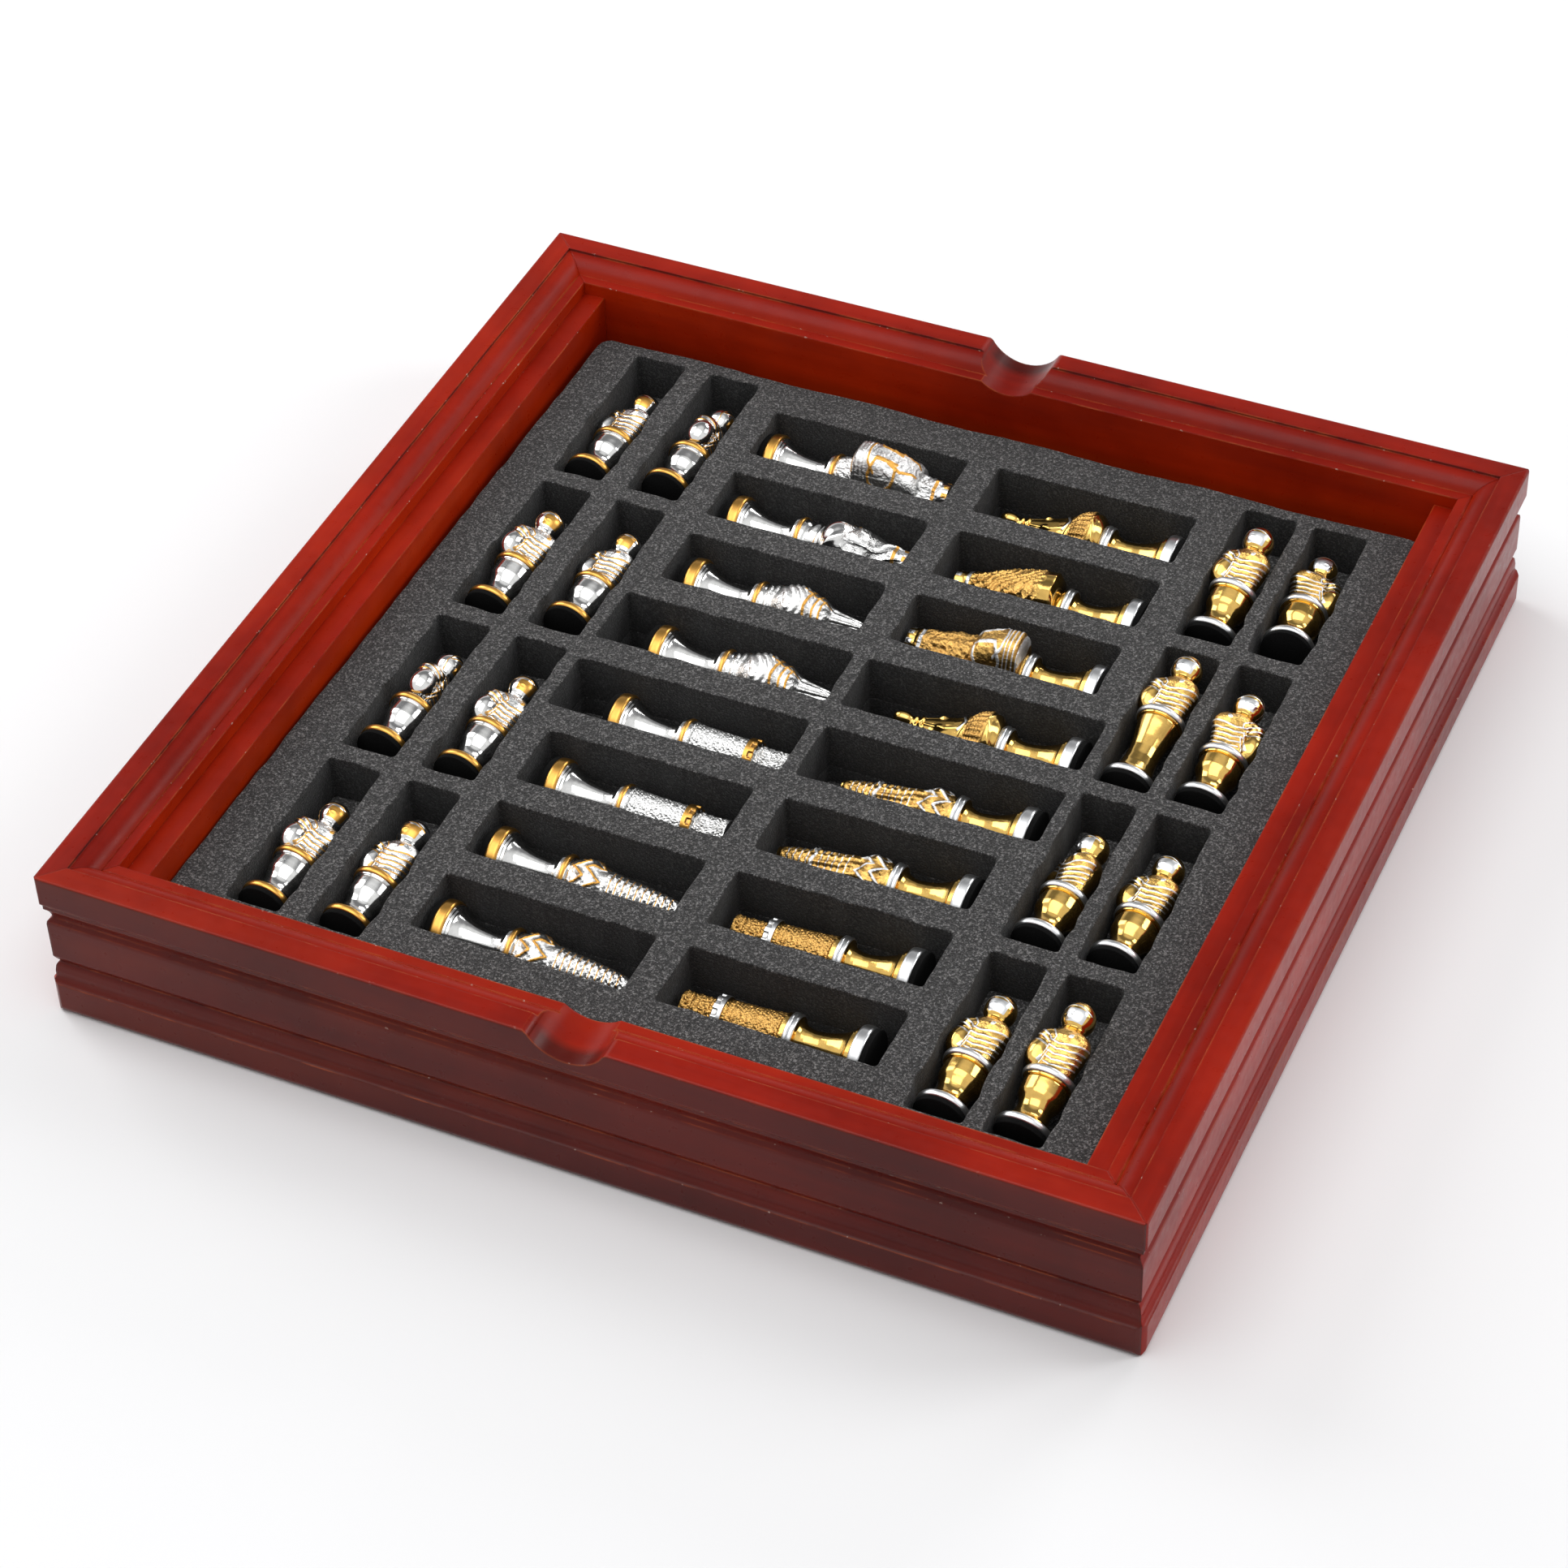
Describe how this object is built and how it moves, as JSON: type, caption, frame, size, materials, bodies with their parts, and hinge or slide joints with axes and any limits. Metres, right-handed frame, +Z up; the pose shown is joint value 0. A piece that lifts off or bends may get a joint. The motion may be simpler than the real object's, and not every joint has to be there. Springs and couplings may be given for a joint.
{
  "type": "chess box",
  "caption": "Shallow square wooden games box with a rabbeted rim, finger notches and a pocketed foam insert that holds a set of metal figure chess pieces.",
  "frame": {"origin": "centre of the box's underside", "axes": "+Z up, +X to the right along the front rail, +Y from the front rail to the back"},
  "size_m": [0.4016, 0.4016, 0.0635],
  "materials": {
    "wood": "gloss",
    "foam": "matte",
    "silver": "satin",
    "gold": "satin"
  },
  "bodies": {
    "box": {"rail_front": "wood", "rail_back": "wood", "rail_left": "wood", "rail_right": "wood", "batten_left": "wood", "batten_right": "wood", "bottom_panel": "wood"},
    "foam_insert": {"foam_base": "foam", "foam_middle": "foam", "foam_top_back": "foam", "foam_top_front": "foam"},
    "silver_king": {"silver_king": "silver"},
    "silver_queen": {"silver_queen": "silver"},
    "silver_bishop_1": {"silver_bishop_1": "silver"},
    "silver_bishop_2": {"silver_bishop_2": "silver"},
    "silver_knight_1": {"silver_knight_1": "silver"},
    "silver_knight_2": {"silver_knight_2": "silver"},
    "silver_rook_1": {"silver_rook_1": "silver"},
    "silver_rook_2": {"silver_rook_2": "silver"},
    "silver_pawn_1": {"silver_pawn_1": "silver"},
    "silver_pawn_2": {"silver_pawn_2": "silver"},
    "silver_pawn_3": {"silver_pawn_3": "silver"},
    "silver_pawn_4": {"silver_pawn_4": "silver"},
    "silver_pawn_5": {"silver_pawn_5": "silver"},
    "silver_pawn_6": {"silver_pawn_6": "silver"},
    "silver_pawn_7": {"silver_pawn_7": "silver"},
    "silver_pawn_8": {"silver_pawn_8": "silver"},
    "gold_king": {"gold_king": "gold"},
    "gold_queen": {"gold_queen": "gold"},
    "gold_bishop_1": {"gold_bishop_1": "gold"},
    "gold_bishop_2": {"gold_bishop_2": "gold"},
    "gold_knight_1": {"gold_knight_1": "gold"},
    "gold_knight_2": {"gold_knight_2": "gold"},
    "gold_rook_1": {"gold_rook_1": "gold"},
    "gold_rook_2": {"gold_rook_2": "gold"},
    "gold_pawn_1": {"gold_pawn_1": "gold"},
    "gold_pawn_2": {"gold_pawn_2": "gold"},
    "gold_pawn_3": {"gold_pawn_3": "gold"},
    "gold_pawn_4": {"gold_pawn_4": "gold"},
    "gold_pawn_5": {"gold_pawn_5": "gold"},
    "gold_pawn_6": {"gold_pawn_6": "gold"},
    "gold_pawn_7": {"gold_pawn_7": "gold"},
    "gold_pawn_8": {"gold_pawn_8": "gold"}
  },
  "joints": [
    {"name": "foam_insert_lift", "type": "slide", "parent": "box", "child": "foam_insert", "axis": [0, 0, 1], "range_m": [0, 0.065]},
    {"name": "silver_king_lift", "type": "slide", "parent": "foam_insert", "child": "silver_king", "axis": [0, 0, 1], "range_m": [0, 0.055]},
    {"name": "silver_queen_lift", "type": "slide", "parent": "foam_insert", "child": "silver_queen", "axis": [0, 0, 1], "range_m": [0, 0.055]},
    {"name": "silver_bishop_1_lift", "type": "slide", "parent": "foam_insert", "child": "silver_bishop_1", "axis": [0, 0, 1], "range_m": [0, 0.055]},
    {"name": "silver_bishop_2_lift", "type": "slide", "parent": "foam_insert", "child": "silver_bishop_2", "axis": [0, 0, 1], "range_m": [0, 0.055]},
    {"name": "silver_knight_1_lift", "type": "slide", "parent": "foam_insert", "child": "silver_knight_1", "axis": [0, 0, 1], "range_m": [0, 0.055]},
    {"name": "silver_knight_2_lift", "type": "slide", "parent": "foam_insert", "child": "silver_knight_2", "axis": [0, 0, 1], "range_m": [0, 0.055]},
    {"name": "silver_rook_1_lift", "type": "slide", "parent": "foam_insert", "child": "silver_rook_1", "axis": [0, 0, 1], "range_m": [0, 0.055]},
    {"name": "silver_rook_2_lift", "type": "slide", "parent": "foam_insert", "child": "silver_rook_2", "axis": [0, 0, 1], "range_m": [0, 0.055]},
    {"name": "silver_pawn_1_lift", "type": "slide", "parent": "foam_insert", "child": "silver_pawn_1", "axis": [0, 0, 1], "range_m": [0, 0.055]},
    {"name": "silver_pawn_2_lift", "type": "slide", "parent": "foam_insert", "child": "silver_pawn_2", "axis": [0, 0, 1], "range_m": [0, 0.055]},
    {"name": "silver_pawn_3_lift", "type": "slide", "parent": "foam_insert", "child": "silver_pawn_3", "axis": [0, 0, 1], "range_m": [0, 0.055]},
    {"name": "silver_pawn_4_lift", "type": "slide", "parent": "foam_insert", "child": "silver_pawn_4", "axis": [0, 0, 1], "range_m": [0, 0.055]},
    {"name": "silver_pawn_5_lift", "type": "slide", "parent": "foam_insert", "child": "silver_pawn_5", "axis": [0, 0, 1], "range_m": [0, 0.055]},
    {"name": "silver_pawn_6_lift", "type": "slide", "parent": "foam_insert", "child": "silver_pawn_6", "axis": [0, 0, 1], "range_m": [0, 0.055]},
    {"name": "silver_pawn_7_lift", "type": "slide", "parent": "foam_insert", "child": "silver_pawn_7", "axis": [0, 0, 1], "range_m": [0, 0.055]},
    {"name": "silver_pawn_8_lift", "type": "slide", "parent": "foam_insert", "child": "silver_pawn_8", "axis": [0, 0, 1], "range_m": [0, 0.055]},
    {"name": "gold_king_lift", "type": "slide", "parent": "foam_insert", "child": "gold_king", "axis": [0, 0, 1], "range_m": [0, 0.055]},
    {"name": "gold_queen_lift", "type": "slide", "parent": "foam_insert", "child": "gold_queen", "axis": [0, 0, 1], "range_m": [0, 0.055]},
    {"name": "gold_bishop_1_lift", "type": "slide", "parent": "foam_insert", "child": "gold_bishop_1", "axis": [0, 0, 1], "range_m": [0, 0.055]},
    {"name": "gold_bishop_2_lift", "type": "slide", "parent": "foam_insert", "child": "gold_bishop_2", "axis": [0, 0, 1], "range_m": [0, 0.055]},
    {"name": "gold_knight_1_lift", "type": "slide", "parent": "foam_insert", "child": "gold_knight_1", "axis": [0, 0, 1], "range_m": [0, 0.055]},
    {"name": "gold_knight_2_lift", "type": "slide", "parent": "foam_insert", "child": "gold_knight_2", "axis": [0, 0, 1], "range_m": [0, 0.055]},
    {"name": "gold_rook_1_lift", "type": "slide", "parent": "foam_insert", "child": "gold_rook_1", "axis": [0, 0, 1], "range_m": [0, 0.055]},
    {"name": "gold_rook_2_lift", "type": "slide", "parent": "foam_insert", "child": "gold_rook_2", "axis": [0, 0, 1], "range_m": [0, 0.055]},
    {"name": "gold_pawn_1_lift", "type": "slide", "parent": "foam_insert", "child": "gold_pawn_1", "axis": [0, 0, 1], "range_m": [0, 0.055]},
    {"name": "gold_pawn_2_lift", "type": "slide", "parent": "foam_insert", "child": "gold_pawn_2", "axis": [0, 0, 1], "range_m": [0, 0.055]},
    {"name": "gold_pawn_3_lift", "type": "slide", "parent": "foam_insert", "child": "gold_pawn_3", "axis": [0, 0, 1], "range_m": [0, 0.055]},
    {"name": "gold_pawn_4_lift", "type": "slide", "parent": "foam_insert", "child": "gold_pawn_4", "axis": [0, 0, 1], "range_m": [0, 0.055]},
    {"name": "gold_pawn_5_lift", "type": "slide", "parent": "foam_insert", "child": "gold_pawn_5", "axis": [0, 0, 1], "range_m": [0, 0.055]},
    {"name": "gold_pawn_6_lift", "type": "slide", "parent": "foam_insert", "child": "gold_pawn_6", "axis": [0, 0, 1], "range_m": [0, 0.055]},
    {"name": "gold_pawn_7_lift", "type": "slide", "parent": "foam_insert", "child": "gold_pawn_7", "axis": [0, 0, 1], "range_m": [0, 0.055]},
    {"name": "gold_pawn_8_lift", "type": "slide", "parent": "foam_insert", "child": "gold_pawn_8", "axis": [0, 0, 1], "range_m": [0, 0.055]}
  ]
}
